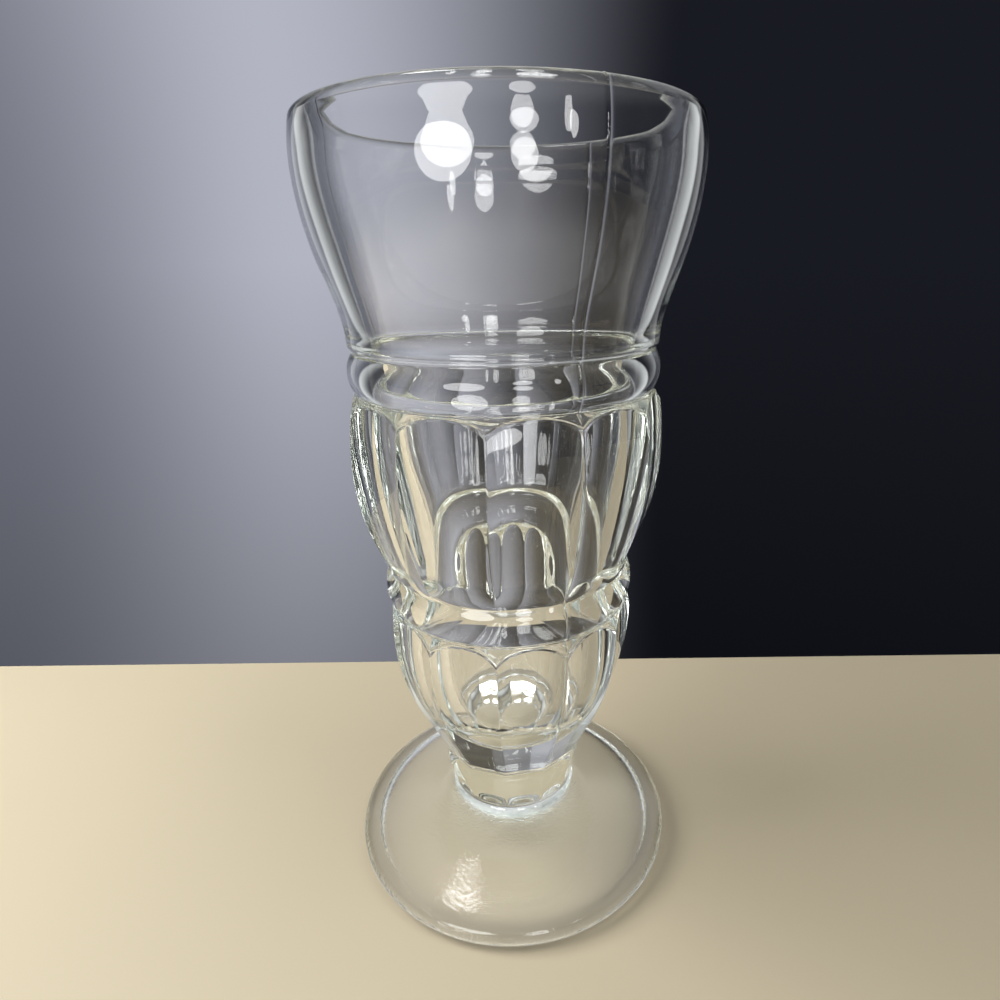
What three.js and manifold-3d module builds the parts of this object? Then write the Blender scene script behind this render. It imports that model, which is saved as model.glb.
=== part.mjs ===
// A footed soda fountain glass for sundaes, pressed in thick clear glass.
// Millimetres, +Z up, with the origin at the centre of the plane that it stands on.
// The sections are stacked on that axis and meet face to face on flat rings.
import * as THREE from 'three';
import { mergeVertices } from 'three/addons/utils/BufferGeometryUtils.js';
import Module from 'manifold-3d';

// Overall height: the curved sides of the bulb and the barrel share what the other stretches leave
const GLASS_HEIGHT = 180;

// Foot: a disc with a rounded edge and a sloped top that flares up to the stem,
// on a resting ring with a domed recess inside it
const FOOT_RADIUS = 42.2;
const FOOT_EDGE_THICKNESS = 6.4;
const FOOT_TOP_SLOPE_DEGREES = 17;
const FOOT_FLARE_HEIGHT = 3.7;
const RESTING_RING_WIDTH = 2;
const RECESS_SIDE_WIDTH = 2;
const RECESS_SIDE_RISE = 3.3;
const RECESS_DEPTH = 4.8;
const RECESS_FULLNESS = 0.6;

// Stem, with radii measured on the arrises between its sides
const STEM_HEIGHT = 12.8;
const STEM_BASE_RADIUS = 16.1;
const STEM_TOP_RADIUS = 18.75;

// Fluted bulb: a straight taper, a curved side up to the crown and a shoulder above it
const BULB_TAPER_HEIGHT = 10;
const BULB_TOP_HEIGHT = 5;
const BULB_SWELL = 1.55;
const BULB_SHOULDER_ROLL = 5.3;
const BULB_SHOULDER_CORNER = 2.7;

// Waist ring, a bead between two grooves
const WAIST_GROOVE_RADIUS = 29.2;
const WAIST_RING_HEIGHT = 9.5;
const WAIST_RING_PROJECTION = 1.4;

// Fluted barrel: a long curved side up to the crown and a shoulder above it
const BARREL_TOP_HEIGHT = 14.4;
const BARREL_TOP_DRAW_IN = 1.4;
const BARREL_SWELL = 3.1;
const BARREL_SHOULDER_ROLL = 7.2;
const BARREL_SHOULDER_CORNER = 3.2;

// Collar ring, a bead between two grooves
const COLLAR_GROOVE_RADIUS = 33.7;
const COLLAR_RING_HEIGHT = 9.5;
const COLLAR_RING_PROJECTION = 1.6;

// Bowl: the height of each stretch of its side and how far the side widens there
const BOWL_EDGE_HEIGHT = 2;
const BOWL_EDGE_WIDENING = 1.2;
const BOWL_SKIRT_HEIGHT = 6;
const BOWL_SKIRT_WIDENING = 1;
const BOWL_FLARE_HEIGHT = 9;
const BOWL_FLARE_WIDENING = 3;
const BOWL_SWELL_HEIGHT = 9.6;
const BOWL_SWELL_WIDENING = 2.5;
const BOWL_CROWN_HEIGHT = 11;
const BOWL_CROWN_WIDENING = 1.1;

// Rim, with a rounded lip
const RIM_HEIGHT = 8;
const LIP_DRAW_IN = 0.6;
const LIP_THICKNESS = 4;

// Hollow inside, given as the thickness of the glass around it
const RIM_WALL = 4.5;
const BOWL_FLARE_WALL = 5;
const NECK_WALL = 3.7;
const COLLAR_WALL = 4;
const CROWN_WALL = 8.2;
const WAIST_UPPER_WALL = 8;
const WAIST_LOWER_WALL = 8.5;
const FLOOR_THICKNESS = 7.5;
const FLOOR_ROUNDING = 19;

// Panels, smoothness, and how far a cutting shape stands clear of what it cuts
const PANEL_COUNT = 12;
const SEGMENTS_PER_PANEL = 5;
const ROUND_EDGE_STEPS = 8;
const FLARE_STEPS = 6;
const SHOULDER_STEPS = 7;
const PANEL_STEPS = 12;
const BOWL_STEPS = 10;
const SHORT_STEPS = 3;
const HOLLOW_STEPS = 120;
const CUT_MARGIN = 0.4;

// Radii that follow from the grooves
const BULB_RADIUS = WAIST_GROOVE_RADIUS + BULB_SWELL;
const BARREL_RADIUS = COLLAR_GROOVE_RADIUS + BARREL_SWELL;
const BOWL_EDGE_RADIUS = COLLAR_GROOVE_RADIUS + BOWL_EDGE_WIDENING;
const BOWL_SKIRT_RADIUS = BOWL_EDGE_RADIUS + BOWL_SKIRT_WIDENING;
const BOWL_FLARE_RADIUS = BOWL_SKIRT_RADIUS + BOWL_FLARE_WIDENING;
const BOWL_SWELL_RADIUS = BOWL_FLARE_RADIUS + BOWL_SWELL_WIDENING;
const BOWL_RADIUS = BOWL_SWELL_RADIUS + BOWL_CROWN_WIDENING;
const LIP_RADIUS = BOWL_RADIUS - LIP_DRAW_IN;

// Heights of the foot's edge and slope, and of the joints between the sections
const FOOT_SLOPE = THREE.MathUtils.degToRad(FOOT_TOP_SLOPE_DEGREES);
const EDGE_ROUNDING = FOOT_EDGE_THICKNESS / 2;
const EDGE_CENTRE_RADIUS = FOOT_RADIUS - EDGE_ROUNDING;
const EDGE_TOP_RADIUS = EDGE_CENTRE_RADIUS + EDGE_ROUNDING * Math.sin(FOOT_SLOPE);
const EDGE_TOP = EDGE_ROUNDING * (1 + Math.cos(FOOT_SLOPE));
const SLOPE_TOP = EDGE_TOP + (EDGE_TOP_RADIUS - STEM_BASE_RADIUS) * Math.tan(FOOT_SLOPE);
const STEM_BOTTOM = SLOPE_TOP + FOOT_FLARE_HEIGHT;
const BULB_BOTTOM = STEM_BOTTOM + STEM_HEIGHT;
const BULB_ENDS_HEIGHT = BULB_TAPER_HEIGHT + BULB_TOP_HEIGHT;
const BOWL_LOWER_HEIGHT = BOWL_EDGE_HEIGHT + BOWL_SKIRT_HEIGHT + BOWL_FLARE_HEIGHT;
const BOWL_HEIGHT = BOWL_LOWER_HEIGHT + BOWL_SWELL_HEIGHT + BOWL_CROWN_HEIGHT;
const RINGS_HEIGHT = WAIST_RING_HEIGHT + COLLAR_RING_HEIGHT;
const PLAIN_HEIGHT = BULB_ENDS_HEIGHT + BARREL_TOP_HEIGHT + RINGS_HEIGHT + BOWL_HEIGHT + RIM_HEIGHT;
const CURVED_SIDE_HEIGHT = (GLASS_HEIGHT - BULB_BOTTOM - PLAIN_HEIGHT) / 2;
const BULB_TAPER_TOP = BULB_BOTTOM + BULB_TAPER_HEIGHT;
const BULB_CROWN = BULB_TAPER_TOP + CURVED_SIDE_HEIGHT;
const WAIST_BOTTOM = BULB_CROWN + BULB_TOP_HEIGHT;
const BARREL_BOTTOM = WAIST_BOTTOM + WAIST_RING_HEIGHT;
const BARREL_CROWN = BARREL_BOTTOM + CURVED_SIDE_HEIGHT;
const COLLAR_BOTTOM = BARREL_CROWN + BARREL_TOP_HEIGHT;
const BOWL_BOTTOM = COLLAR_BOTTOM + COLLAR_RING_HEIGHT;
const BOWL_EDGE_TOP = BOWL_BOTTOM + BOWL_EDGE_HEIGHT;
const BOWL_SKIRT_TOP = BOWL_EDGE_TOP + BOWL_SKIRT_HEIGHT;
const BOWL_FLARE_TOP = BOWL_SKIRT_TOP + BOWL_FLARE_HEIGHT;
const BOWL_SWELL_TOP = BOWL_FLARE_TOP + BOWL_SWELL_HEIGHT;
const RIM_BOTTOM = BOWL_SWELL_TOP + BOWL_CROWN_HEIGHT;
const LIP_ROUNDING = LIP_THICKNESS / 2;
const LIP_CENTRE = RIM_BOTTOM + RIM_HEIGHT - LIP_ROUNDING;

const HALF_TURN = 180;
const ROUND_SEGMENTS = PANEL_COUNT * SEGMENTS_PER_PANEL;
const { lerp, mapLinear, degToRad, radToDeg } = THREE.MathUtils;
const wasm = await Module();
wasm.setup();

const point = (radius, height) => new THREE.Vector2(radius, height);
const midway = (low, high) => (low + high) / 2;

/** Points of a circle's arc between two angles in degrees, where 0 points outward and 90 up. */
function arc(centreRadius, centreHeight, size, fromDegrees, toDegrees, steps) {
  const points = [];
  for (let i = 0; i <= steps; i += 1) {
    const angle = degToRad(lerp(fromDegrees, toDegrees, i / steps));
    points.push(point(centreRadius + size * Math.cos(angle), centreHeight + size * Math.sin(angle)));
  }
  return points;
}

/** Turns a profile about the upright axis, with shared vertices merged and flat triangles left out. */
function turn(profile, segments) {
  const lathe = new THREE.LatheGeometry(profile, segments);
  lathe.rotateX(Math.PI / 2);
  lathe.deleteAttribute('normal');
  lathe.deleteAttribute('uv');
  const geometry = mergeVertices(lathe);
  const corners = geometry.index.array;
  const kept = [];
  for (let i = 0; i < corners.length; i += 3) {
    const [a, b, c] = corners.subarray(i, i + 3);
    if (a !== b && b !== c && c !== a) {
      kept.push(a, b, c);
    }
  }
  geometry.setIndex(kept);
  return geometry;
}

/** Closes a profile on the axis at both of its ends. */
function toAxis(profile) {
  return [point(0, profile[0].y), ...profile, point(0, profile.at(-1).y)];
}

/** A solid for joining and cutting, turned from a profile that is closed on the axis. */
function turnedSolid(profile, segments) {
  const geometry = turn(toAxis(profile), segments);
  const vertProperties = geometry.attributes.position.array;
  const triVerts = new Uint32Array(geometry.index.array);
  return new wasm.Manifold(new wasm.Mesh({ numProp: 3, vertProperties, triVerts }));
}

/** The finished surface of a solid. */
function surfaceOf(solid) {
  const mesh = solid.getMesh();
  const geometry = new THREE.BufferGeometry();
  geometry.setAttribute('position', new THREE.BufferAttribute(mesh.vertProperties, 3));
  geometry.setIndex(new THREE.BufferAttribute(mesh.triVerts, 1));
  return geometry;
}

/** A profile carried straight up and down past its ends, for a shape that cuts right through. */
function pastEnds(profile) {
  const bottom = profile[0];
  const top = profile.at(-1);
  return [point(bottom.x, bottom.y - CUT_MARGIN), ...profile, point(top.x, top.y + CUT_MARGIN)];
}

// Hollow: one smooth shape from the floor of the bulb to the lip, widening all the way up
const FLOOR = BULB_BOTTOM + FLOOR_THICKNESS;
const WAIST_INSIDE = WAIST_GROOVE_RADIUS - WAIST_LOWER_WALL;
const hollowFloor = new THREE.CubicBezierCurve(
  point(0, FLOOR),
  point(FLOOR_ROUNDING, FLOOR),
  point(WAIST_INSIDE, midway(FLOOR, WAIST_BOTTOM)),
  point(WAIST_INSIDE, WAIST_BOTTOM),
);
const hollowSide = new THREE.SplineCurve([
  point(WAIST_INSIDE, WAIST_BOTTOM),
  point(WAIST_GROOVE_RADIUS - WAIST_UPPER_WALL, BARREL_BOTTOM),
  point(BARREL_RADIUS - CROWN_WALL, BARREL_CROWN),
  point(COLLAR_GROOVE_RADIUS - COLLAR_WALL, COLLAR_BOTTOM),
  point(COLLAR_GROOVE_RADIUS - NECK_WALL, BOWL_BOTTOM),
  point(BOWL_FLARE_RADIUS - BOWL_FLARE_WALL, BOWL_FLARE_TOP),
  point(BOWL_RADIUS - RIM_WALL, RIM_BOTTOM),
  point(LIP_RADIUS - LIP_THICKNESS, LIP_CENTRE),
]);
const sidePoints = hollowSide.getPoints(HOLLOW_STEPS);

/** The hollow's radius at a height above the bulb. */
function hollowRadius(height) {
  const above = sidePoints.findIndex((p) => p.y >= height);
  if (above === -1) {
    return sidePoints.at(-1).x;
  }
  if (above === 0) {
    return sidePoints[0].x;
  }
  const low = sidePoints[above - 1];
  const high = sidePoints[above];
  return mapLinear(height, low.y, high.y, low.x, high.x);
}

/** The hollow's side between two heights, from the bottom up. */
function hollowPart(bottom, top, steps) {
  const points = [];
  for (let i = 0; i <= steps; i += 1) {
    const height = lerp(bottom, top, i / steps);
    points.push(point(hollowRadius(height), height));
  }
  return points;
}

/** A ring of glass: its outside from the bottom up, then its inside down, closed on itself. */
function ringSection(outside, inside) {
  return turn([...outside, ...inside.reverse(), outside[0].clone()], ROUND_SEGMENTS);
}

/** The outside of a round bead between two grooves. */
function bead(grooveRadius, projection, bottom, height) {
  const half = height / 2;
  const size = (half ** 2 + projection ** 2) / (2 * projection);
  const reach = radToDeg(Math.asin(half / size));
  return arc(grooveRadius + projection - size, bottom + half, size, -reach, reach, ROUND_EDGE_STEPS);
}

/** Flat panels around a round blank: where they run out on its shoulder they end in arches. */
function panelled(arrises, blankRadius, roll, corner, grooveRadius) {
  const bottom = arrises[0].y;
  const top = arrises.at(-1).y;
  const shoulder = new THREE.QuadraticBezierCurve(
    point(blankRadius, top - corner - roll),
    point(blankRadius, top - corner),
    point(grooveRadius, top),
  );
  const side = [point(blankRadius, bottom), ...shoulder.getPoints(SHOULDER_STEPS)];
  const blank = turnedSolid(side, ROUND_SEGMENTS);
  return blank.intersect(turnedSolid(pastEnds(arrises), PANEL_COUNT));
}

/** Foot: its top slopes up behind the rounded edge and turns up into the stem. */
function footGeometry() {
  const ringInner = EDGE_CENTRE_RADIUS - RESTING_RING_WIDTH;
  const recess = new THREE.CubicBezierCurve(
    point(0, RECESS_DEPTH),
    point(ringInner * RECESS_FULLNESS, RECESS_DEPTH),
    point(ringInner - RECESS_SIDE_WIDTH, RECESS_SIDE_RISE),
    point(ringInner, 0),
  );
  const slopeNormal = 90 - FOOT_TOP_SLOPE_DEGREES;
  const edge = arc(EDGE_CENTRE_RADIUS, EDGE_ROUNDING, EDGE_ROUNDING, -90, slopeNormal, ROUND_EDGE_STEPS);
  const top = new THREE.QuadraticBezierCurve(
    point(EDGE_TOP_RADIUS, EDGE_TOP),
    point(STEM_BASE_RADIUS, SLOPE_TOP),
    point(STEM_BASE_RADIUS, STEM_BOTTOM),
  );
  const upperSide = top.getPoints(PANEL_STEPS).slice(1);
  const profile = [...recess.getPoints(ROUND_EDGE_STEPS), ...edge, ...upperSide, point(0, STEM_BOTTOM)];
  return turn(profile, ROUND_SEGMENTS);
}

/** Stem: a short solid with as many sides as the bulb has panels, drawn in towards the foot. */
function stemGeometry() {
  const side = new THREE.QuadraticBezierCurve(
    point(STEM_BASE_RADIUS, STEM_BOTTOM),
    point(STEM_TOP_RADIUS, midway(STEM_BOTTOM, BULB_BOTTOM)),
    point(STEM_TOP_RADIUS, BULB_BOTTOM),
  );
  return turn(toAxis(side.getPoints(FLARE_STEPS)), PANEL_COUNT);
}

/** Bulb: its curved side falls away from the crown and runs straight on into the stem. */
function bulbGeometry() {
  const curveReach = CURVED_SIDE_HEIGHT ** 2 + 2 * CURVED_SIDE_HEIGHT * BULB_TAPER_HEIGHT;
  const curvature = (BULB_RADIUS - STEM_TOP_RADIUS) / curveReach;
  const arrises = [point(STEM_TOP_RADIUS, BULB_BOTTOM)];
  for (let i = 0; i <= PANEL_STEPS; i += 1) {
    const height = lerp(BULB_TAPER_TOP, WAIST_BOTTOM, i / PANEL_STEPS);
    arrises.push(point(BULB_RADIUS - curvature * (height - BULB_CROWN) ** 2, height));
  }
  const blankRadius = BULB_RADIUS + CUT_MARGIN;
  const roll = BULB_SHOULDER_ROLL;
  const body = panelled(arrises, blankRadius, roll, BULB_SHOULDER_CORNER, WAIST_GROOVE_RADIUS);
  const floor = hollowFloor.getPoints(ROUND_EDGE_STEPS).slice(1);
  const top = point(WAIST_INSIDE, WAIST_BOTTOM + CUT_MARGIN);
  return surfaceOf(body.subtract(turnedSolid([point(0, FLOOR), ...floor, top], ROUND_SEGMENTS)));
}

/** Barrel: the larger fluted part, from the groove over the waist ring to the collar's groove. */
function barrelGeometry() {
  const arrises = [];
  for (let i = 0; i <= PANEL_STEPS; i += 1) {
    const height = lerp(BARREL_BOTTOM, COLLAR_BOTTOM, i / PANEL_STEPS);
    const below = height < BARREL_CROWN;
    const reach = below ? CURVED_SIDE_HEIGHT : BARREL_TOP_HEIGHT;
    const drawIn = below ? BARREL_RADIUS - WAIST_GROOVE_RADIUS : BARREL_TOP_DRAW_IN;
    arrises.push(point(BARREL_RADIUS - drawIn * ((height - BARREL_CROWN) / reach) ** 2, height));
  }
  const blankRadius = BARREL_RADIUS + CUT_MARGIN;
  const roll = BARREL_SHOULDER_ROLL;
  const body = panelled(arrises, blankRadius, roll, BARREL_SHOULDER_CORNER, COLLAR_GROOVE_RADIUS);
  const hollow = pastEnds(hollowPart(BARREL_BOTTOM, COLLAR_BOTTOM, FLARE_STEPS));
  return surfaceOf(body.subtract(turnedSolid(hollow, ROUND_SEGMENTS)));
}

function waistRingGeometry() {
  const outside = bead(WAIST_GROOVE_RADIUS, WAIST_RING_PROJECTION, WAIST_BOTTOM, WAIST_RING_HEIGHT);
  return ringSection(outside, hollowPart(WAIST_BOTTOM, BARREL_BOTTOM, SHORT_STEPS));
}

function collarRingGeometry() {
  const outside = bead(COLLAR_GROOVE_RADIUS, COLLAR_RING_PROJECTION, COLLAR_BOTTOM, COLLAR_RING_HEIGHT);
  return ringSection(outside, hollowPart(COLLAR_BOTTOM, BOWL_BOTTOM, SHORT_STEPS));
}

/** Bowl: from the groove over the collar out in an S to its widest line. */
function bowlGeometry() {
  const edge = new THREE.QuadraticBezierCurve(
    point(COLLAR_GROOVE_RADIUS, BOWL_BOTTOM),
    point(BOWL_EDGE_RADIUS, BOWL_BOTTOM),
    point(BOWL_EDGE_RADIUS, BOWL_EDGE_TOP),
  );
  const side = new THREE.SplineCurve([
    point(BOWL_EDGE_RADIUS, BOWL_EDGE_TOP),
    point(BOWL_SKIRT_RADIUS, BOWL_SKIRT_TOP),
    point(BOWL_FLARE_RADIUS, BOWL_FLARE_TOP),
    point(BOWL_SWELL_RADIUS, BOWL_SWELL_TOP),
    point(BOWL_RADIUS, RIM_BOTTOM),
  ]);
  const outside = [...edge.getPoints(SHORT_STEPS).slice(0, -1), ...side.getPoints(BOWL_STEPS)];
  return ringSection(outside, hollowPart(BOWL_BOTTOM, RIM_BOTTOM, FLARE_STEPS));
}

/** Rim: the band above the widest line, drawn in a little to a rounded lip. */
function rimGeometry() {
  const side = new THREE.QuadraticBezierCurve(
    point(BOWL_RADIUS, RIM_BOTTOM),
    point(BOWL_RADIUS, midway(RIM_BOTTOM, LIP_CENTRE)),
    point(LIP_RADIUS, LIP_CENTRE),
  );
  const lip = arc(LIP_RADIUS - LIP_ROUNDING, LIP_CENTRE, LIP_ROUNDING, 0, HALF_TURN, ROUND_EDGE_STEPS);
  const outside = [...side.getPoints(SHORT_STEPS).slice(0, -1), ...lip.slice(0, -1)];
  return ringSection(outside, hollowPart(RIM_BOTTOM, LIP_CENTRE, SHORT_STEPS));
}

/** Clear glass, which looks a little greener where it is thicker. */
function clearGlass(colour) {
  return new THREE.MeshStandardMaterial({ color: colour, roughness: 0.05, metalness: 0 });
}

function section(name, geometry, colour) {
  geometry.computeVertexNormals();
  const mesh = new THREE.Mesh(geometry, clearGlass(colour));
  mesh.name = name;
  return mesh;
}

const glass = new THREE.Group();
glass.add(
  section('foot', footGeometry(), 0xd3d9cb),
  section('stem', stemGeometry(), 0xcfd5c6),
  section('lower_bulb', bulbGeometry(), 0xd8ddd1),
  section('waist_ring', waistRingGeometry(), 0xdce1d6),
  section('upper_barrel', barrelGeometry(), 0xdce1d8),
  section('collar_ring', collarRingGeometry(), 0xdfe3dc),
  section('bowl', bowlGeometry(), 0xe4e8e2),
  section('rim', rimGeometry(), 0xe6eae4),
);

export default glass;
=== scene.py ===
"""Sundae glass: the finished look of a footed soda fountain glass in thick, clear pressed glass.

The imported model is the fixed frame. The glass is modelled over it as one seamless body, because
light bends through real glass only where it meets air, and there is no face inside the glass.
"""

import math

import bpy
import numpy as np
from mathutils import Matrix, Vector


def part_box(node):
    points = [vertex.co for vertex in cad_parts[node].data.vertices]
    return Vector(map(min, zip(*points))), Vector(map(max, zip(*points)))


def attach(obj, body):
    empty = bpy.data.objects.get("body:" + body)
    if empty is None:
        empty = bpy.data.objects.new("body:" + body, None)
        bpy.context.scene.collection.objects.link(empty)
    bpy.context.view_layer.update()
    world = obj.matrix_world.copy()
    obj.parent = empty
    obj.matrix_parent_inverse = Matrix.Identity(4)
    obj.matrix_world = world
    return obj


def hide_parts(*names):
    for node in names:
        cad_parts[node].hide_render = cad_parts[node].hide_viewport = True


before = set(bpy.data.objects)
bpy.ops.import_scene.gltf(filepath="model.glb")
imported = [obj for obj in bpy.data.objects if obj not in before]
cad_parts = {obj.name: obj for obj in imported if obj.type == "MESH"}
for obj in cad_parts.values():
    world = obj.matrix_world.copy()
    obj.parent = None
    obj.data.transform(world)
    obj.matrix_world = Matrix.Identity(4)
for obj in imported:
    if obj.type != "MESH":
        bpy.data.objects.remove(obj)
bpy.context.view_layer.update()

bl_info = {
    "name": "Sundae Glass",
    "version": (1, 0, 0),
    "blender": (4, 5, 0),
    "location": "View3D > Sidebar > Sundae Glass",
    "description": "Models a footed pressed-glass sundae glass over its packed frame",
    "category": "Add Mesh",
}

SECTIONS = ("foot", "stem", "lower_bulb", "waist_ring", "upper_barrel", "collar_ring", "bowl", "rim")
MM = 0.001


def bottom(node):
    """The height of a section's lower face."""
    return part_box(node)[0].z


def top(node):
    """The height of a section's upper face."""
    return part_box(node)[1].z


def reach(node):
    """The largest radius of a section."""
    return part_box(node)[1].x


def length(name, description, default):
    """A size in metres that a user may change."""
    return bpy.props.FloatProperty(
        name=name, description=description, default=default, min=0.0, precision=5, subtype="DISTANCE")


def angle(name, description, degrees):
    """An angle that a user may change."""
    return bpy.props.FloatProperty(
        name=name, description=description, default=math.radians(degrees), subtype="ANGLE")


def share(name, description, default):
    """A number from 0 to 1 that a user may change."""
    return bpy.props.FloatProperty(
        name=name, description=description, default=default, min=0.0, max=1.0, subtype="FACTOR")


def colour(name, description, default):
    """A colour that a user may change."""
    return bpy.props.FloatVectorProperty(
        name=name, description=description, default=default, size=3, min=0.0, max=1.0, subtype="COLOR")


class SundaeGlassSizes(bpy.types.PropertyGroup):
    """Sizes of the glass body."""

    foot_radius: length("Foot radius", "Outer radius of the foot", reach("foot"))
    foot_edge: length("Foot edge", "Thickness of the foot's rounded edge", 6.4 * MM)
    foot_slope: angle("Foot slope", "Slope of the foot's top behind its edge", 17)
    ring_width: length("Resting ring", "Width of the ring that the foot rests on", 2 * MM)
    recess_side: length("Recess side", "Width over which the recess rises from the resting ring", 2 * MM)
    recess_rise: length("Recess rise", "Height to which the recess rises at its side", 3.3 * MM)
    recess: length("Recess", "Depth of the domed recess under the foot", 4.8 * MM)
    stem_base: length("Stem base", "Radius of the stem where it meets the foot", 16.1 * MM)
    stem_top: length("Stem top", "Radius of the stem where it meets the bulb", 18.75 * MM)
    bulb_radius: length("Bulb radius", "Radius of the bulb's crown, on its arrises", reach("lower_bulb"))
    bulb_taper: length("Bulb taper", "Height of the straight taper at the bulb's bottom", 10 * MM)
    bulb_top: length("Bulb top", "Height of the bulb above its crown", 5 * MM)
    bulb_roll: length("Bulb roll", "Height over which the bulb's shoulder rolls in", 5.3 * MM)
    bulb_corner: length("Bulb corner", "Height of the bulb's shoulder above its roll", 2.7 * MM)
    waist_groove: length("Waist groove", "Radius of the grooves at the waist ring", 29.2 * MM)
    barrel_radius: length(
        "Barrel radius", "Radius of the barrel's crown, on its arrises", reach("upper_barrel"))
    barrel_top: length("Barrel top", "Height of the barrel above its crown", 14.4 * MM)
    barrel_draw_in: length("Barrel draw-in", "How far the arrises draw in at the barrel's top", 1.4 * MM)
    barrel_roll: length("Barrel roll", "Height over which the barrel's shoulder rolls in", 7.2 * MM)
    barrel_corner: length("Barrel corner", "Height of the barrel's shoulder above its roll", 3.2 * MM)
    collar_groove: length("Collar groove", "Radius of the grooves at the collar ring", 33.7 * MM)
    bowl_radius: length("Bowl radius", "Radius of the bowl at its widest line", reach("bowl"))
    lip_draw_in: length("Lip draw-in", "How far the rim draws in to its lip", 0.6 * MM)
    lip_thickness: length("Lip", "Thickness of the rounded lip", 4 * MM)
    rim_wall: length("Rim wall", "Thickness of the glass at the widest line", 4.5 * MM)
    flare_wall: length("Flare wall", "Thickness of the glass where the bowl flares", 5 * MM)
    neck_wall: length("Neck wall", "Thickness of the glass over the collar ring", 3.7 * MM)
    collar_wall: length("Collar wall", "Thickness of the glass under the collar ring", 4 * MM)
    crown_wall: length(
        "Crown wall", "Thickness of the glass at the barrel's crown, on its arrises", 8.2 * MM)
    waist_upper_wall: length("Upper waist wall", "Thickness of the glass over the waist ring", 8 * MM)
    waist_lower_wall: length("Lower waist wall", "Thickness of the glass under the waist ring", 8.5 * MM)
    floor_thickness: length("Floor", "Thickness of the glass under the hollow, above the stem", 7.5 * MM)
    floor_rounding: length("Floor rounding", "How far the hollow's floor stays flat", 19 * MM)
    panels: bpy.props.IntProperty(
        name="Panels", description="Flat panels round the bulb and the barrel", default=12, min=3)
    arris_softness: length("Arris softness", "How softly two panels meet", 0.16 * MM)
    arch_softness: length("Arch softness", "How softly a panel runs out on the shoulder", 0.1 * MM)
    arch_line: length("Arch line", "Half width of the fine line along each arch", 0.25 * MM)
    polish: length("Polish", "How far the fire polish has rounded the grooves", 0.3 * MM)
    seam_height: length("Seam height", "Height of the fine mould seams", 0.11 * MM)
    seam_width: length("Seam width", "Half width of the fine mould seams", 0.28 * MM)
    seams: bpy.props.IntProperty(
        name="Seams", description="Seams left by the parts of the mould", default=3, min=0)
    seam_turn: angle("Seam turn", "Turn of the first seam from the front", 30)


class SundaeGlassLooks(bpy.types.PropertyGroup):
    """Finish of the glass."""

    tint: colour("Tint", "Colour that thick glass takes", (0.70, 0.82, 0.66))
    tint_strength: bpy.props.FloatProperty(
        name="Tint strength", description="Absorption of the glass, per metre", default=4.0, min=0.0)
    refraction: bpy.props.FloatProperty(
        name="Refraction", description="Refractive index of the glass", default=1.52, min=1.0, max=2.0)
    clearness: share("Shadow clearness", "Light that a face of the glass lets through to its shadow", 0.97)
    roll_clearness: share(
        "Roll clearness", "Light that a face of the foot's rounded edge lets through", 0.76)
    edge_clearness: share(
        "Shadow edge", "Light that a face lets through where it stands along the light", 0.3)
    ripple: length("Ripple", "Height of the ripples left by pressing", 0.012 * MM)
    arch_ridge: length("Arch ridge", "Height of the fine line along each arch", 0.2 * MM)
    wrinkles: length("Wrinkles", "Height of the chill wrinkles on the hollow's floor", 0.3 * MM)
    pits: length("Pits", "Depth of the fine pits on the foot", 0.06 * MM)
    roughness: share("Roughness", "Roughness where the glass is worn", 0.05)


class SundaeGlassStage(bpy.types.PropertyGroup):
    """Floor, backdrop, lamps and camera."""

    floor_colour: colour("Floor", "Colour of the pale floor", (0.74, 0.64, 0.45))
    floor_back: length("Floor back", "How far the floor runs behind the glass", 77 * MM)
    floor_reach: length("Floor reach", "How far the floor runs to the other sides", 0.9)
    room_side: colour("Room side", "Colour of the pale room just beside the backdrop", (0.78, 0.805, 0.815))
    room_end: colour("Room end", "Colour of the room far out on both sides", (0.06, 0.062, 0.07))
    room: colour("Room", "Colour of the room in front of the glass", (0.12, 0.124, 0.135))
    ceiling: colour("Ceiling", "Colour of the ceiling", (0.72, 0.74, 0.76))
    # The backdrop's left, glow and right colours are painted light and shade: lighter where light falls on
    # the left, black in painted shade on the right
    painted_light_left: colour("Left side", "Colour of the backdrop on its left", (0.165, 0.172, 0.213))
    painted_light_glow: colour(
        "Glow", "Colour of the backdrop where most light falls on it", (0.45, 0.464, 0.54))
    painted_shade_right: colour("Right side", "Colour of the backdrop on its right", (0.010, 0.011, 0.016))
    heading: angle("Heading", "Turn of the camera about the upright axis", 4.23)
    pitch: angle("Pitch", "How far the camera looks down", 18.33)
    roll: angle("Roll", "Roll of the camera", -0.70)


def settings(context):
    """The three groups of settings."""
    scene = context.scene
    return scene.sundae_glass_sizes, scene.sundae_glass_looks, scene.sundae_glass_stage


# Outline of the glass, as radius and height

def arc(centre, size, start, end, steps):
    """Points of a circle's arc between two angles in degrees, where 0 points outward and 90 up."""
    turns = np.radians(np.linspace(start, end, steps + 1))
    return np.column_stack((centre[0] + size * np.cos(turns), centre[1] + size * np.sin(turns)))


def bend(start, corner, end, steps):
    """A smooth bend from start to end that heads for the corner on its way."""
    t = np.linspace(0, 1, steps + 1)[:, None]
    return (1 - t) ** 2 * np.array(start) + 2 * (1 - t) * t * np.array(corner) + t ** 2 * np.array(end)


def sweep(start, leave, arrive, end, steps):
    """A smooth sweep that leaves the start and reaches the end in the directions of two handles."""
    t = np.linspace(0, 1, steps + 1)[:, None]
    return (
        (1 - t) ** 3 * np.array(start) + 3 * (1 - t) ** 2 * t * np.array(leave)
        + 3 * (1 - t) * t ** 2 * np.array(arrive) + t ** 3 * np.array(end))


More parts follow.
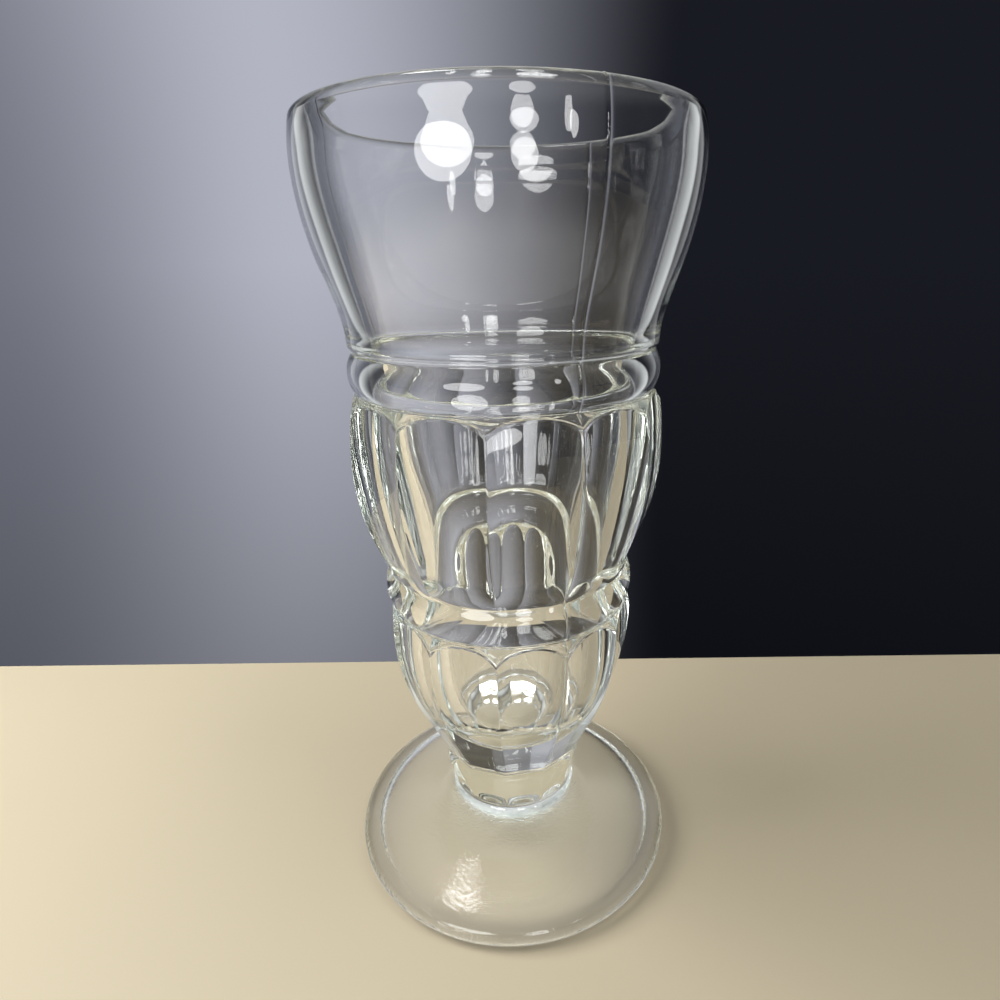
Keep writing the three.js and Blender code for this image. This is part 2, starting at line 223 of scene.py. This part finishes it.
def smooth_side(points, row):
    """An evenly curved side through the points from the bottom up, upright at both ends, in rows."""
    radii, heights = np.array(points).T
    gaps = np.diff(heights)
    rises = np.diff(radii) / gaps
    count = len(points)
    system = np.eye(count)
    targets = np.zeros(count)
    for i in range(1, count - 1):
        system[i, i - 1:i + 2] = gaps[i], 2 * (gaps[i - 1] + gaps[i]), gaps[i - 1]
        targets[i] = 3 * (gaps[i] * rises[i - 1] + gaps[i - 1] * rises[i])
    slopes = np.linalg.solve(system, targets)
    rows = np.linspace(heights[0], heights[-1], math.ceil((heights[-1] - heights[0]) / row) + 1)
    below = np.clip(np.searchsorted(heights, rows, "right") - 1, 0, count - 2)
    gap = gaps[below]
    t = (rows - heights[below]) / gap
    curve = (
        radii[below] * (2 * t ** 3 - 3 * t ** 2 + 1) + gap * slopes[below] * (t ** 3 - 2 * t ** 2 + t)
        + radii[below + 1] * (3 * t ** 2 - 2 * t ** 3) + gap * slopes[below + 1] * (t ** 3 - t ** 2))
    return np.column_stack((curve, rows))


def bead(groove, radius, low, high, steps):
    """The round side of a ring between two grooves."""
    half = (high - low) / 2
    projection = radius - groove
    size = (half ** 2 + projection ** 2) / (2 * projection)
    limit = math.degrees(math.asin(half / size))
    return arc((radius - size, low + half), size, -limit, limit, steps)


def heights_between(low, fine_from, high, coarse, fine):
    """Heights from low to high, finer above fine_from, where the arches are."""
    plain = np.arange(low, fine_from, coarse)
    return np.concatenate((plain, np.linspace(fine_from, high, math.ceil((high - fine_from) / fine) + 1)))


ROUND_EDGE_STEPS = 12
SHORT_STEPS = 6
CURVE_STEPS = 12
HOLLOW_ROW = 1.9 * MM
BOWL_ROW = 1.35 * MM
PANEL_ROW = 1.3 * MM
ARCH_ROW = 0.3 * MM
BLANK_MARGIN = 0.4 * MM
DOME_FULLNESS = 0.6
BOWL_STEP = 1.2 * MM
BOWL_CORNER = 2 * MM
BOWL_LOW = (1 * MM, 8 * MM)
BOWL_FLARE = (4 * MM, 17 * MM)
BOWL_HIGH = (6.5 * MM, 26.6 * MM)


def foot_outline(sizes):
    """From the middle of the underside over the edge to the top of the flare."""
    rounding = sizes.foot_edge / 2
    edge = sizes.foot_radius - rounding
    ring = edge - sizes.ring_width
    dome = sweep(
        (0, sizes.recess), (DOME_FULLNESS * ring, sizes.recess),
        (ring - sizes.recess_side, sizes.recess_rise), (ring, 0), 2 * CURVE_STEPS)
    normal = 90 - math.degrees(sizes.foot_slope)
    side = arc((edge, rounding), rounding, -90, normal, ROUND_EDGE_STEPS)
    slope_start = side[-1]
    rise = (slope_start[0] - sizes.stem_base) * math.tan(sizes.foot_slope)
    slope_end = (sizes.stem_base, slope_start[1] + rise)
    slope = bend(slope_start, slope_end, (sizes.stem_base, bottom("stem")), 2 * CURVE_STEPS)
    return np.vstack((dome, side[:-1], slope[:-1]))


def stem_outline(sizes):
    """The stem's arrises, from the foot to the bulb."""
    low = bottom("stem")
    high = top("stem")
    corner = (sizes.stem_top, (low + high) / 2)
    return bend((sizes.stem_base, low), corner, (sizes.stem_top, high), CURVE_STEPS)[:-1]


def bulb_outline(sizes):
    """The bulb's arrises: a curve that falls away from the crown and runs straight on into the stem."""
    low = bottom("lower_bulb")
    high = top("lower_bulb")
    crown = high - sizes.bulb_top
    taper_top = low + sizes.bulb_taper
    curve = crown - taper_top
    fall = (sizes.bulb_radius - sizes.stem_top) / (curve ** 2 + 2 * curve * sizes.bulb_taper)
    rows = heights_between(low, high - sizes.bulb_roll - sizes.bulb_corner, high, PANEL_ROW, ARCH_ROW)
    radii = sizes.bulb_radius - fall * (np.maximum(rows, taper_top) - crown) ** 2
    radii -= 2 * fall * curve * np.maximum(taper_top - rows, 0)
    return np.column_stack((radii, rows))[:-1]


def barrel_outline(sizes):
    """The barrel's arrises, from the waist's groove over the crown to the collar's groove."""
    low = bottom("upper_barrel")
    high = top("upper_barrel")
    crown = high - sizes.barrel_top
    rows = heights_between(low, high - sizes.barrel_roll - sizes.barrel_corner, high, PANEL_ROW, ARCH_ROW)
    below = rows < crown
    reach_from_crown = np.where(below, crown - low, sizes.barrel_top)
    draw_in = np.where(below, sizes.barrel_radius - sizes.waist_groove, sizes.barrel_draw_in)
    radii = sizes.barrel_radius - draw_in * ((rows - crown) / reach_from_crown) ** 2
    return np.column_stack((radii, rows))[:-1]


def bowl_outline(sizes):
    """The bowl and the rim, from the collar's groove out to the widest line and over the lip."""
    low = bottom("bowl")
    widest = (sizes.bowl_radius, top("bowl"))
    edge = sizes.collar_groove + BOWL_STEP
    side_start = (edge, low + BOWL_CORNER)
    corner = bend((sizes.collar_groove, low), (edge, low), side_start, SHORT_STEPS)
    marks = [(edge + out, low + up) for out, up in (BOWL_LOW, BOWL_FLARE, BOWL_HIGH)]
    side = smooth_side((side_start, *marks, widest), BOWL_ROW)
    rounding = sizes.lip_thickness / 2
    lip_radius = sizes.bowl_radius - sizes.lip_draw_in
    lip_height = top("rim") - rounding
    rim_corner = (sizes.bowl_radius, (widest[1] + lip_height) / 2)
    rim = bend(widest, rim_corner, (lip_radius, lip_height), SHORT_STEPS)
    lip = arc((lip_radius - rounding, lip_height), rounding, 0, 180, ROUND_EDGE_STEPS)
    return np.vstack((corner[:-1], side[:-1], rim[:-1], lip))


def hollow_outline(sizes):
    """The hollow, from just under the lip down to the middle of its floor."""
    waist = (sizes.waist_groove - sizes.waist_lower_wall, bottom("waist_ring"))
    crown = top("upper_barrel") - sizes.barrel_top
    flare_out, flare_up = BOWL_FLARE
    flare = sizes.collar_groove + BOWL_STEP + flare_out - sizes.flare_wall
    lip_inside = sizes.bowl_radius - sizes.lip_draw_in - sizes.lip_thickness
    side = smooth_side((
        waist,
        (sizes.waist_groove - sizes.waist_upper_wall, top("waist_ring")),
        (sizes.barrel_radius - sizes.crown_wall, crown),
        (sizes.collar_groove - sizes.collar_wall, bottom("collar_ring")),
        (sizes.collar_groove - sizes.neck_wall, bottom("bowl")),
        (flare, bottom("bowl") + flare_up),
        (sizes.bowl_radius - sizes.rim_wall, top("bowl")),
        (lip_inside, top("rim") - sizes.lip_thickness / 2)), HOLLOW_ROW)[::-1]
    floor = bottom("lower_bulb") + sizes.floor_thickness
    middle = (waist[1] + floor) / 2
    round_floor = sweep(
        waist, (waist[0], middle), (sizes.floor_rounding, floor), (0, floor), 2 * CURVE_STEPS)
    return np.vstack((side[1:-1], round_floor))


def whole_outline(sizes):
    """The outline of the glass from the middle of its underside to the middle of the hollow's floor."""
    waist_ring = bead(
        sizes.waist_groove, reach("waist_ring"), bottom("waist_ring"), top("waist_ring"), ROUND_EDGE_STEPS)
    collar_ring = bead(
        sizes.collar_groove, reach("collar_ring"), bottom("collar_ring"), top("collar_ring"),
        ROUND_EDGE_STEPS)
    return np.vstack((
        foot_outline(sizes), stem_outline(sizes), bulb_outline(sizes), waist_ring[:-1],
        barrel_outline(sizes), collar_ring[:-1], bowl_outline(sizes), hollow_outline(sizes)))


# Modelling of the glass body

COLUMNS_PER_PANEL = 24
COLUMN_CROWDING = 0.84
MERGE_DISTANCE = 0.001 * MM
OPEN_RADIUS = 1.0
STEM_PANEL_START = 3 * MM
BARREL_PANEL_START = 4 * MM
POLISH_BLEND = ((-1, 0.25), (0, 0.5), (1, 0.25))


def spun_body(outline, columns):
    """Draws the outline from one point by extruding it, and spins it into a closed body."""
    bpy.ops.object.select_all(action="DESELECT")
    bpy.ops.mesh.primitive_plane_add(size=MM)
    body = bpy.context.object
    bpy.ops.object.mode_set(mode="EDIT")
    bpy.ops.mesh.select_all(action="SELECT")
    bpy.ops.mesh.merge(type="CENTER")
    points = np.column_stack((outline[:, 0], np.zeros(len(outline)), outline[:, 1]))
    bpy.ops.transform.translate(value=tuple(points[0]))
    for step in np.diff(points, axis=0):
        bpy.ops.mesh.extrude_region_move(TRANSFORM_OT_translate={"value": tuple(step)})
    bpy.ops.mesh.select_all(action="SELECT")
    bpy.ops.mesh.spin(steps=columns, angle=math.tau, center=(0, 0, 0), axis=(0, 0, 1))
    bpy.ops.mesh.select_all(action="SELECT")
    bpy.ops.mesh.remove_doubles(threshold=MERGE_DISTANCE)
    bpy.ops.mesh.normals_make_consistent(inside=False)
    bpy.ops.object.mode_set(mode="OBJECT")
    return body


def shoulder_radius(sizes):
    """Heights and radii of the round blank that the panels are pressed into."""
    bulb_blank = sizes.bulb_radius + BLANK_MARGIN
    bulb_high = top("lower_bulb")
    bulb_low = bulb_high - sizes.bulb_corner
    bulb = bend((bulb_blank, bulb_low - sizes.bulb_roll), (bulb_blank, bulb_low),
                (sizes.waist_groove, bulb_high), ROUND_EDGE_STEPS)
    barrel_blank = sizes.barrel_radius + BLANK_MARGIN
    barrel_high = top("upper_barrel")
    barrel_low = barrel_high - sizes.barrel_corner
    barrel = bend((barrel_blank, barrel_low - sizes.barrel_roll), (barrel_blank, barrel_low),
                  (sizes.collar_groove, barrel_high), ROUND_EDGE_STEPS)
    barrel_low_end = bottom("upper_barrel")
    between = ((OPEN_RADIUS, bulb_high), (OPEN_RADIUS, barrel_low_end), (barrel_blank, barrel_low_end))
    return np.vstack((bulb, between, barrel, ((OPEN_RADIUS, barrel_high),)))


def panel_weight(heights):
    """1 where the side is made of flat panels, and 0 where it is round."""
    stem = bottom("stem")
    marks = (
        (stem, 0), (stem + STEM_PANEL_START, 1), (top("lower_bulb"), 1), (top("lower_bulb"), 0),
        (bottom("upper_barrel"), 0), (bottom("upper_barrel") + BARREL_PANEL_START, 1),
        (top("upper_barrel"), 1), (top("upper_barrel"), 0))
    return np.interp(heights, [mark[0] for mark in marks], [mark[1] for mark in marks])


def soft_least(a, b, softness):
    """The lesser of two radii, with the change between them rounded."""
    near = np.maximum(softness - np.abs(a - b), 0) / softness
    return np.minimum(a, b) - near ** 2 * softness / 4


def panel_and_shoulder(turns, heights, outside, blank, sizes):
    """The radius of the panels and that of the round blank at these turns and heights."""
    half = math.pi / sizes.panels
    arrises = np.interp(heights, outside[:, 1], outside[:, 0])
    from_arris = np.abs((turns + half) % (2 * half) - half)
    softness = sizes.arris_softness / np.maximum(arrises, MM)
    from_middle = half - np.hypot(from_arris, softness)
    flat = math.cos(half) / np.cos(from_middle)
    panel = arrises * (1 + panel_weight(heights) * (flat - 1))
    return panel, np.interp(heights, blank[:, 1], blank[:, 0])


def press_panels(body, outline, sizes):
    """Presses the panels into the spun body, marks its arches and floor, and gives its outside."""
    count = len(body.data.vertices)
    places = np.empty(3 * count)
    body.data.vertices.foreach_get("co", places)
    places = places.reshape(-1, 3)
    radii = np.hypot(places[:, 0], places[:, 1])
    turns = np.arctan2(places[:, 1], places[:, 0])
    heights = places[:, 2]
    panel_turn = math.tau / sizes.panels
    turns = turns - COLUMN_CROWDING * panel_turn / math.tau * np.sin(turns * sizes.panels)
    lip = int(np.argmax(outline[:, 1]))
    stem = int(np.argmax(outline[:, 1] >= bottom("stem")))
    outside = outline[stem:lip]
    blank = shoulder_radius(sizes)
    hollow = outline[lip:][::-1]
    wall_middle = (np.interp(heights, hollow[:, 1], hollow[:, 0], left=0)
                   + np.interp(heights, outside[:, 1], outside[:, 0])) / 2
    in_reach = (heights > outside[0, 1]) & (heights < bottom("bowl") + sizes.polish)
    pressed = in_reach & (radii > wall_middle)
    smooth = np.zeros(int(pressed.sum()))
    for shift, weight in POLISH_BLEND:
        panel, shoulder = panel_and_shoulder(
            turns[pressed], heights[pressed] + shift * sizes.polish, outside, blank, sizes)
        smooth += weight * soft_least(panel, shoulder, sizes.arch_softness)
    radii[pressed] = smooth
    off_arch = np.ones(count)
    panel, shoulder = panel_and_shoulder(turns[pressed], heights[pressed], outside, blank, sizes)
    off_arch[pressed] = np.clip((panel - shoulder) / sizes.arch_line, -1, 1)
    floor = hollow[0, 1]
    in_floor = np.interp(heights, (floor - MM, floor, top("lower_bulb")), (0, 1, 0))
    in_floor *= radii < wall_middle
    for name, values in (("off_arch", off_arch), ("in_floor", in_floor)):
        body.data.attributes.new(name, "FLOAT", "POINT").data.foreach_set("value", values)
    places[:, 0] = radii * np.cos(turns)
    places[:, 1] = radii * np.sin(turns)
    body.data.vertices.foreach_set("co", places.ravel())
    body.data.update()
    return radii > wall_middle


SEAM_FADE = 2 * MM
SEAM_ON_FOOT = 0.2


def raise_seams(body, is_outside, sizes):
    """Raises the fine seams that the parts of the mould leave on the outside."""
    count = len(body.data.vertices)
    places = np.empty(3 * count)
    normals = np.empty(3 * count)
    body.data.vertices.foreach_get("co", places)
    body.data.vertex_normals.foreach_get("vector", normals)
    places = places.reshape(-1, 3)
    normals = normals.reshape(-1, 3)
    turns = np.arctan2(places[:, 0], -places[:, 1]) - sizes.seam_turn
    between = math.tau / sizes.seams
    off_seam = (turns + between / 2) % between - between / 2
    across = off_seam * np.hypot(places[:, 0], places[:, 1])
    rise = sizes.seam_height * np.exp(-(across / sizes.seam_width) ** 2)
    stem = bottom("stem")
    heights = places[:, 2]
    rise *= is_outside * np.interp(heights, (stem - SEAM_FADE, stem + SEAM_FADE), (SEAM_ON_FOOT, 1))
    rise *= heights > sizes.foot_edge
    places += rise[:, None] * normals
    body.data.vertices.foreach_set("co", places.ravel())
    body.data.update()


# Finish of the glass

def link(tree, source, output, target, socket):
    """Joins one node's output to another node's input."""
    tree.links.new(source.outputs[output], target.inputs[socket])


def value_of(tree, operation, first, second=None):
    """The result of a sum on one or two sockets."""
    node = tree.nodes.new("ShaderNodeMath")
    node.operation = operation
    tree.links.new(first, node.inputs[0])
    if second:
        tree.links.new(second, node.inputs[1])
    return node.outputs["Value"]


def ranged(tree, value, start, end, low=0, high=1, eased=False):
    """A value that goes from low to high as another goes from start to end."""
    node = tree.nodes.new("ShaderNodeMapRange")
    if eased:
        node.interpolation_type = "SMOOTHSTEP"
    node.inputs["From Min"].default_value = start
    node.inputs["From Max"].default_value = end
    node.inputs["To Min"].default_value = low
    node.inputs["To Max"].default_value = high
    tree.links.new(value, node.inputs["Value"])
    return node.outputs["Result"]


def noise(tree, coordinates, scale, detail, stretch=(1, 1, 1)):
    """A noise on the object's own coordinates, stretched along its axes."""
    mapping = tree.nodes.new("ShaderNodeMapping")
    mapping.inputs["Scale"].default_value = stretch
    link(tree, coordinates, "Object", mapping, "Vector")
    texture = tree.nodes.new("ShaderNodeTexNoise")
    texture.inputs["Scale"].default_value = scale
    texture.inputs["Detail"].default_value = detail
    link(tree, mapping, "Vector", texture, "Vector")
    return texture.outputs["Fac"]


def mark(tree, name):
    """A value that the body's own points carry."""
    attribute = tree.nodes.new("ShaderNodeAttribute")
    attribute.attribute_name = name
    return attribute.outputs["Fac"]


def bumped(tree, height, distance, under=None):
    """The normal of a surface raised by a height from 0 to 1 times a distance, over another normal."""
    bump = tree.nodes.new("ShaderNodeBump")
    bump.inputs["Strength"].default_value = 1
    bump.inputs["Distance"].default_value = distance
    tree.links.new(height, bump.inputs["Height"])
    if under:
        tree.links.new(under, bump.inputs["Normal"])
    return bump.outputs["Normal"]


WEAR_SCALE = 240
WEAR_DETAIL = 6
WORN = (0.58, 0.75)
RIPPLE_SCALE = 55
RIPPLE_STRETCH = (1, 1, 0.45)
WRINKLE_SCALE = 130
WRINKLE_STRETCH = (1, 1, 0.5)
PIT_SCALE = 1100
PIT_FADE = 4 * MM
ALONG_LIGHT = (0.3, 0.8)
EDGE_SHADE_REACH = 8 * MM


def pressed_surface(tree, coordinates, on_foot, looks):
    """The normal of the pressed surface: ripples, lines along the arches, wrinkles and pits."""
    rippled = bumped(tree, noise(tree, coordinates, RIPPLE_SCALE, 1, RIPPLE_STRETCH), looks.ripple)
    off_arch = value_of(tree, "ABSOLUTE", mark(tree, "off_arch"))
    ridged = bumped(tree, ranged(tree, off_arch, 1, 0, eased=True), looks.arch_ridge, rippled)
    folds = noise(tree, coordinates, WRINKLE_SCALE, 2, WRINKLE_STRETCH)
    folds_in_floor = value_of(tree, "MULTIPLY", folds, mark(tree, "in_floor"))
    wrinkled = bumped(tree, folds_in_floor, looks.wrinkles, ridged)
    pits = noise(tree, coordinates, PIT_SCALE, 2)
    return bumped(tree, value_of(tree, "MULTIPLY", pits, on_foot), looks.pits, wrinkled)


def light_let_through(tree, coordinates, on_foot, looks):
    """Light that a face passes on to the shadow: less along the light and in the foot's rounded edge."""
    facing = tree.nodes.new("ShaderNodeLayerWeight")
    passing = ranged(tree, facing.outputs["Facing"], *ALONG_LIGHT, looks.clearness, looks.edge_clearness)
    level = tree.nodes.new("ShaderNodeVectorMath")
    level.operation = "MULTIPLY"
    level.inputs[1].default_value = (1, 1, 0)
    link(tree, coordinates, "Object", level, 0)
    from_axis = tree.nodes.new("ShaderNodeVectorMath")
    from_axis.operation = "LENGTH"
    link(tree, level, "Vector", from_axis, 0)
    inner = reach("foot") - EDGE_SHADE_REACH
    outer = reach("foot") - EDGE_SHADE_REACH / 2
    rolled_edge = ranged(tree, from_axis.outputs["Value"], inner, outer, eased=True)
    in_edge = value_of(tree, "MULTIPLY", rolled_edge, on_foot)
    return value_of(tree, "MULTIPLY", passing, ranged(tree, in_edge, 0, 1, 1, looks.roll_clearness))


def clear_glass(looks):
    """Clear pressed glass with faint wear, and a green cast where it is thick."""
    material = bpy.data.materials.new("clear_pressed_glass")
    material.use_nodes = True
    tree = material.node_tree
    shader = tree.nodes["Principled BSDF"]
    output = tree.nodes["Material Output"]
    shader.inputs["Base Color"].default_value = (1, 1, 1, 1)
    shader.inputs["Transmission Weight"].default_value = 1
    shader.inputs["IOR"].default_value = looks.refraction
    coordinates = tree.nodes.new("ShaderNodeTexCoord")
    axes = tree.nodes.new("ShaderNodeSeparateXYZ")
    link(tree, coordinates, "Object", axes, "Vector")
    flare = bottom("stem") - PIT_FADE
    on_foot = ranged(tree, axes.outputs["Z"], flare, flare - PIT_FADE)

    wear = noise(tree, coordinates, WEAR_SCALE, WEAR_DETAIL)
    tree.links.new(ranged(tree, wear, *WORN, high=looks.roughness), shader.inputs["Roughness"])
    tree.links.new(pressed_surface(tree, coordinates, on_foot, looks), shader.inputs["Normal"])

    absorption = tree.nodes.new("ShaderNodeVolumeAbsorption")
    absorption.inputs["Color"].default_value = (*looks.tint, 1)
    absorption.inputs["Density"].default_value = looks.tint_strength
    link(tree, absorption, "Volume", output, "Volume")

    clear = tree.nodes.new("ShaderNodeBsdfTransparent")
    tree.links.new(light_let_through(tree, coordinates, on_foot, looks), clear.inputs["Color"])
    ray = tree.nodes.new("ShaderNodeLightPath")
    shadow = tree.nodes.new("ShaderNodeMixShader")
    link(tree, ray, "Is Shadow Ray", shadow, "Fac")
    link(tree, shader, "BSDF", shadow, 1)
    link(tree, clear, "BSDF", shadow, 2)
    link(tree, shadow, "Shader", output, "Surface")
    return material


class SUNDAE_OT_glass_body(bpy.types.Operator):
    """Models the whole glass as one seamless body of clear pressed glass"""

    bl_idname = "sundae.glass_body"
    bl_label = "Glass Body"

    def execute(self, context):
        sizes, looks, _ = settings(context)
        outline = whole_outline(sizes)
        body = spun_body(outline, COLUMNS_PER_PANEL * sizes.panels)
        body.name = "glass_body"
        is_outside = press_panels(body, outline, sizes)
        raise_seams(body, is_outside, sizes)
        bpy.ops.object.shade_smooth()
        body.data.materials.append(clear_glass(looks))
        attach(body, "root")
        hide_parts(*SECTIONS)
        return {"FINISHED"}


# Stage

CAMERA_PLACE = Vector((16.05, -153.36, 152.47)) * MM
CAMERA_SENSOR = 36
CAMERA_LENS = 23.976
CAMERA_SHIFT = (-0.02618, -0.01972)
FLOOR_GAP = 0.1 * MM
FLOOR_THICKNESS = 0.03
FLOOR_ROUGHNESS = 0.6
GLASS_BOUNCES = 32
GLOSSY_BOUNCES = 16

# The backdrop's colours, at places from the far left to the far right; between the room sides they are
# painted light where light falls on the left and painted shade to black on the right
BACKDROP_STOPS = (
    (0.07, "room_end"), (0.16, "room_side"), (0.18, "painted_light_left"), (0.35, "painted_light_glow"),
    (0.60, "painted_shade_right"), (0.80, "painted_shade_right"), (0.825, "room_side"), (0.93, "room_end"))
CEILING_RISE = (0.31, 0.5)
FRONT_TURN = (0.2, -0.2)
LOW_RISE = (-0.6, 0)
LOW_SHADE = 0.4

# Lamps: azimuth and elevation in degrees, distance, width and height in metres, and radiance
WINDOWS = (
    ("left_window", -21, 5, 0.6, 0.30, 0.22, 9),
    ("right_window_upper_pane", 18, 15, 0.9, 0.21, 0.19, 9),
    ("right_window_lower_pane", 18, 1.5, 0.9, 0.21, 0.19, 9),
    ("far_window", 42, 14, 0.9, 0.07, 0.2, 10),
    ("back_window", -112, 71, 0.8, 0.11, 0.2, 14))
FLOOR_LAMPS = (
    ("key", -80, 35, 0.45, 0.36, 0.36, 8.2),
    ("overhead", 70, 60, 0.8, 0.5, 0.5, 3.2))


def plain_floor(stage):
    """A plain pale floor that ends a little way behind the glass."""
    bpy.ops.object.select_all(action="DESELECT")
    bpy.ops.mesh.primitive_cube_add(size=1)
    floor = bpy.context.object
    floor.name = "floor"
    depth = stage.floor_reach + stage.floor_back
    turn = Matrix.Rotation(stage.heading, 4, "Z")
    middle = Vector((0, stage.floor_back - depth / 2, -FLOOR_GAP - FLOOR_THICKNESS / 2))
    size = Matrix.Diagonal((2 * stage.floor_reach, depth, FLOOR_THICKNESS, 1))
    floor.matrix_world = turn @ Matrix.Translation(middle) @ size
    material = bpy.data.materials.new("pale_floor")
    material.use_nodes = True
    shader = material.node_tree.nodes["Principled BSDF"]
    shader.inputs["Base Color"].default_value = (*stage.floor_colour, 1)
    shader.inputs["Roughness"].default_value = FLOOR_ROUGHNESS
    floor.data.materials.append(material)


def mixed(tree, factor, first, second):
    """The first colour, changed to the second by a factor."""
    mix = tree.nodes.new("ShaderNodeMix")
    mix.data_type = "RGBA"
    tree.links.new(factor, mix.inputs["Factor"])
    first_socket, second_socket = [socket for socket in mix.inputs if socket.type == "RGBA"]
    tree.links.new(first, first_socket)
    second_socket.default_value = (*second, 1)
    return next(socket for socket in mix.outputs if socket.type == "RGBA")


def towards(tree, coordinates, direction):
    """How far a line of sight points in a level direction, from -1 to 1."""
    node = tree.nodes.new("ShaderNodeVectorMath")
    node.operation = "DOT_PRODUCT"
    node.inputs[1].default_value = direction
    link(tree, coordinates, "Generated", node, 0)
    return node.outputs["Value"]


def backdrop_with_painted_light(scene, stage):
    """A backdrop with painted light: pale grey where the light falls on its left, and painted shade that
    goes to black on its right, in a plain room with a pale ceiling.
    """
    world = bpy.data.worlds.new("dark_backdrop")
    scene.world = world
    world.use_nodes = True
    tree = world.node_tree
    background = tree.nodes["Background"]
    coordinates = tree.nodes.new("ShaderNodeTexCoord")
    axes = tree.nodes.new("ShaderNodeSeparateXYZ")
    link(tree, coordinates, "Generated", axes, "Vector")
    across = math.cos(stage.heading)
    along = math.sin(stage.heading)
    to_right = towards(tree, coordinates, (across, along, 0))
    to_back = towards(tree, coordinates, (-along, across, 0))

    backdrop = tree.nodes.new("ShaderNodeValToRGB")
    ramp = backdrop.color_ramp
    ramp.interpolation = "EASE"
    for place, _ in BACKDROP_STOPS[len(ramp.elements):]:
        ramp.elements.new(place)
    for element, (place, name) in zip(ramp.elements, BACKDROP_STOPS):
        element.position = place
        element.color = (*getattr(stage, name), 1)
    tree.links.new(ranged(tree, to_right, -1, 1), backdrop.inputs["Fac"])
    in_front = ranged(tree, to_back, *FRONT_TURN, eased=True)
    overhead = ranged(tree, axes.outputs["Z"], *CEILING_RISE, eased=True)
    with_room = mixed(tree, in_front, backdrop.outputs["Color"], stage.room)
    tree.links.new(mixed(tree, overhead, with_room, stage.ceiling), background.inputs["Color"])

    ray = tree.nodes.new("ShaderNodeLightPath")
    seen = ray.outputs["Is Camera Ray"]
    for kind in ("Is Glossy Ray", "Is Transmission Ray"):
        seen = value_of(tree, "MAXIMUM", seen, ray.outputs[kind])
    low_shade = ranged(tree, axes.outputs["Z"], *LOW_RISE, LOW_SHADE, 1)
    tree.links.new(value_of(tree, "MULTIPLY", seen, low_shade), background.inputs["Strength"])


def soft_lamp(name, azimuth, elevation, distance, width, height, radiance):
    """A soft oval lamp that faces the glass, at an azimuth from the front towards the right."""
    data = bpy.data.lights.new(name, "AREA")
    data.shape = "ELLIPSE"
    data.size = width
    data.size_y = height
    data.energy = radiance * math.pi * math.pi * width * height / 4
    lamp = bpy.data.objects.new(name, data)
    turn = math.radians(azimuth)
    rise = math.radians(elevation)
    out = Vector((math.sin(turn) * math.cos(rise), -math.cos(turn) * math.cos(rise), math.sin(rise)))
    lamp.location = Vector((0, 0, top("upper_barrel"))) + distance * out
    lamp.rotation_euler = out.to_track_quat("Z", "Y").to_euler()
    bpy.context.scene.collection.objects.link(lamp)
    return lamp


class SUNDAE_OT_stage(bpy.types.Operator):
    """Sets the floor, backdrop, soft lamps and camera round the glass"""

    bl_idname = "sundae.stage"
    bl_label = "Stage"

    def execute(self, context):
        _, _, stage = settings(context)
        scene = context.scene
        plain_floor(stage)
        backdrop_with_painted_light(scene, stage)
        for window in WINDOWS:
            soft_lamp(*window).visible_diffuse = False
        for lamp in FLOOR_LAMPS:
            soft_lamp(*lamp).data.cycles.use_multiple_importance_sampling = False
        camera = bpy.data.objects.new("camera", bpy.data.cameras.new("camera"))
        scene.collection.objects.link(camera)
        camera.data.sensor_width = CAMERA_SENSOR
        camera.data.lens = CAMERA_LENS
        camera.data.shift_x, camera.data.shift_y = CAMERA_SHIFT
        camera.data.clip_start = MM
        turn = Matrix.Rotation(stage.heading, 4, "Z")
        tilt = Matrix.Rotation(math.pi / 2 - stage.pitch, 4, "X")
        roll = Matrix.Rotation(stage.roll, 4, "Z")
        camera.matrix_world = Matrix.Translation(CAMERA_PLACE) @ turn @ tilt @ roll
        scene.camera = camera
        scene.view_settings.view_transform = "Standard"
        scene.cycles.caustics_reflective = False
        scene.cycles.caustics_refractive = False
        scene.cycles.max_bounces = GLASS_BOUNCES
        scene.cycles.transmission_bounces = GLASS_BOUNCES
        scene.cycles.glossy_bounces = GLOSSY_BOUNCES
        scene.cycles.transparent_max_bounces = GLASS_BOUNCES
        return {"FINISHED"}


class SUNDAE_PT_panel(bpy.types.Panel):
    """Lists the settings and the steps that build the glass"""

    bl_idname = "SUNDAE_PT_panel"
    bl_label = "Sundae Glass"
    bl_space_type = "VIEW_3D"
    bl_region_type = "UI"
    bl_category = "Sundae Glass"

    def draw(self, context):
        for group in settings(context):
            box = self.layout.box()
            for name in group.__annotations__:
                box.prop(group, name)
        self.layout.operator(SUNDAE_OT_glass_body.bl_idname)
        self.layout.operator(SUNDAE_OT_stage.bl_idname)


CLASSES = (
    SundaeGlassSizes, SundaeGlassLooks, SundaeGlassStage,
    SUNDAE_OT_glass_body, SUNDAE_OT_stage, SUNDAE_PT_panel)


def register():
    for cls in CLASSES:
        bpy.utils.register_class(cls)
    bpy.types.Scene.sundae_glass_sizes = bpy.props.PointerProperty(type=SundaeGlassSizes)
    bpy.types.Scene.sundae_glass_looks = bpy.props.PointerProperty(type=SundaeGlassLooks)
    bpy.types.Scene.sundae_glass_stage = bpy.props.PointerProperty(type=SundaeGlassStage)


def unregister():
    del bpy.types.Scene.sundae_glass_stage
    del bpy.types.Scene.sundae_glass_looks
    del bpy.types.Scene.sundae_glass_sizes
    for cls in reversed(CLASSES):
        bpy.utils.unregister_class(cls)


def main():
    """Builds the glass on its stage."""
    register()
    bpy.ops.sundae.glass_body()
    bpy.ops.sundae.stage()


if __name__ == "__main__":
    main()
